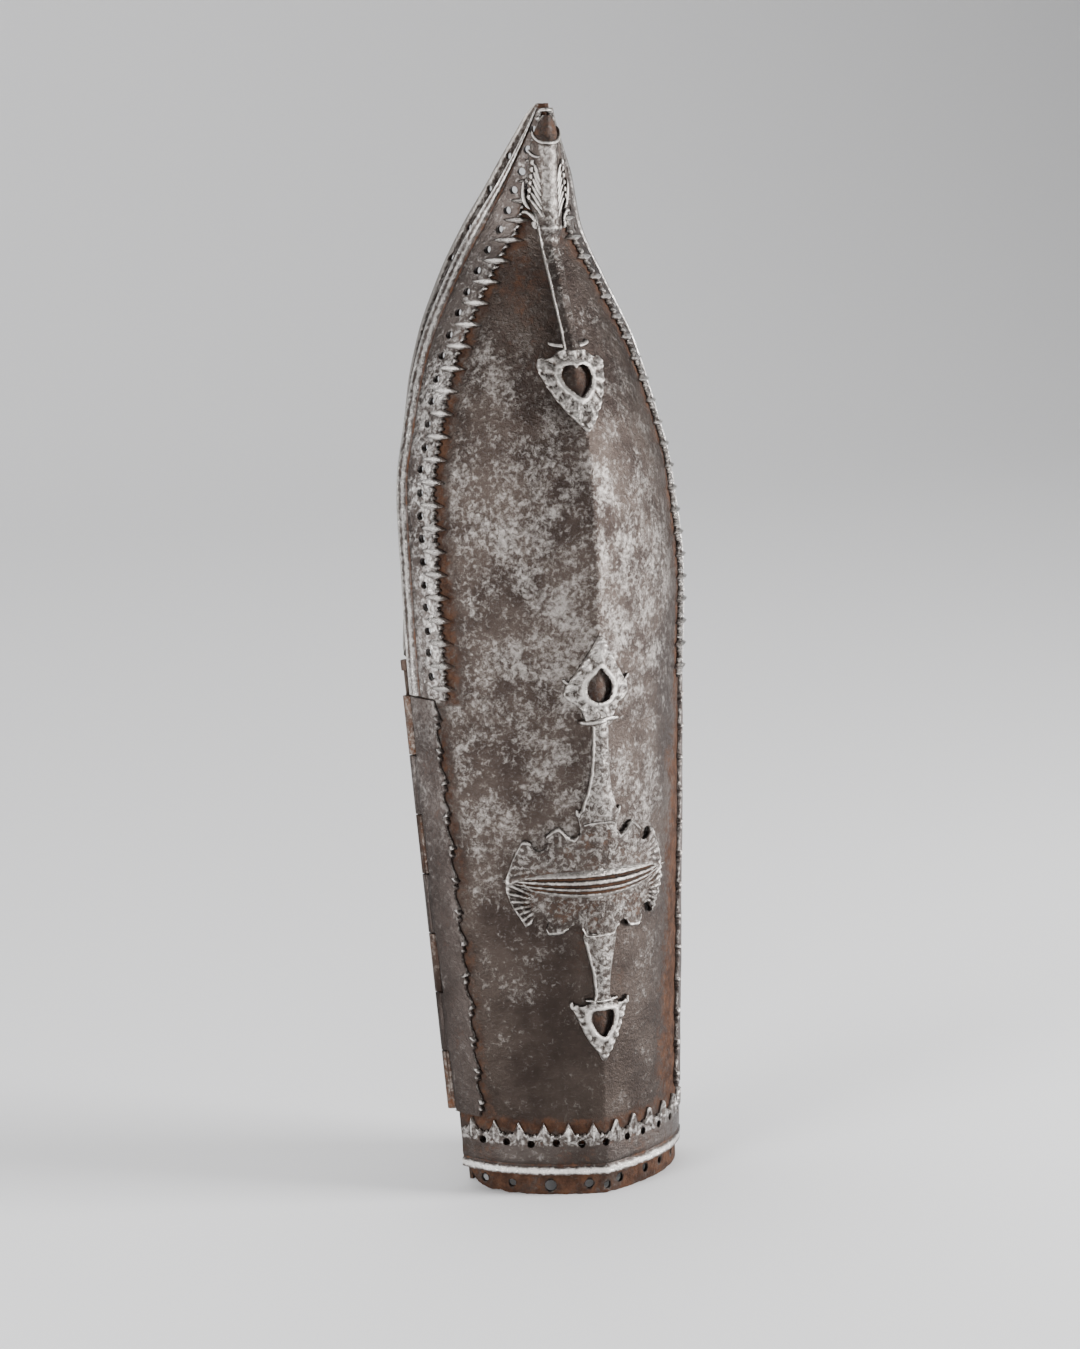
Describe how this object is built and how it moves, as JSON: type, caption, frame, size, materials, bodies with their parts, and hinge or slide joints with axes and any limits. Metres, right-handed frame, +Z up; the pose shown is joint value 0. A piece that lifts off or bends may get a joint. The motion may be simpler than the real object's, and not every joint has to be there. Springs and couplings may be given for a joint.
{
  "type": "arm guard",
  "caption": "Ridged steel forearm guard with a pointed elbow end, toothed applied borders, pierced ridge mounts and a hinged inner wrist plate.",
  "frame": {"origin": "centre of the bounding box at the foot, on the surface that the wrist end stands on", "axes": "+Z up along the guard from the wrist end to the elbow tip, -Y the ridge at the front, +X towards the side without the hinge"},
  "size_m": [0.1184, 0.0842, 0.4],
  "materials": {
    "aged_steel": "dark patinated steel, worn bright in mottled patches, with rust at the edges",
    "bright_steel": "chiselled steel, worn bright on its high points and rusty in its hollows",
    "rusted_steel": "brown rusted steel"
  },
  "bodies": {
    "outer_guard": {"plate": "aged_steel", "left_border": "bright_steel", "right_border": "bright_steel", "wrist_border": "bright_steel", "hinge_strap": "bright_steel", "right_strap": "bright_steel", "upper_ridge_mount": "bright_steel", "lower_ridge_mount": "bright_steel", "hinge_pin": "rusted_steel"},
    "inner_guard": {"wrist_plate": "rusted_steel"}
  },
  "joints": [
    {"name": "wrist_plate_hinge", "type": "hinge", "parent": "outer_guard", "child": "inner_guard", "pos_m": [-0.0458, -0.00184, 0.0285], "axis": [-0.0575, 0.1198, 0.9911], "range_deg": [0, 110]}
  ]
}
